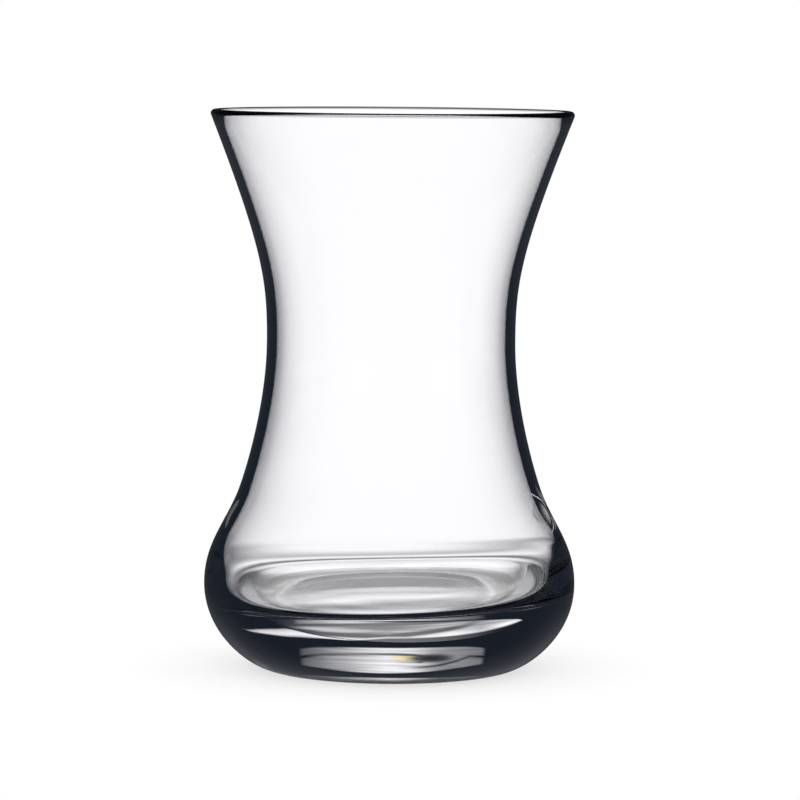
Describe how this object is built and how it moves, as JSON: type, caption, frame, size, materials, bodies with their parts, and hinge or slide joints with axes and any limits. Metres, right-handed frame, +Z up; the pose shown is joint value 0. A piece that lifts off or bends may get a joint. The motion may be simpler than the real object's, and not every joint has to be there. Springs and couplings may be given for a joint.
{
  "type": "turkish tea glass",
  "caption": "Empty clear drinking glass with a flared rim, a narrow waist, a round bulb and a thick solid base.",
  "frame": {"origin": "centre of the ring that the glass stands on", "axes": "+Z up the glass's axis, out of its mouth; X and Y are alike, because the glass is round"},
  "size_m": [0.0636, 0.0636, 0.0955],
  "materials": {
    "clear_glass": "clear, fire-polished, smooth"
  },
  "bodies": {
    "root": {"glass": "clear_glass"}
  },
  "joints": []
}
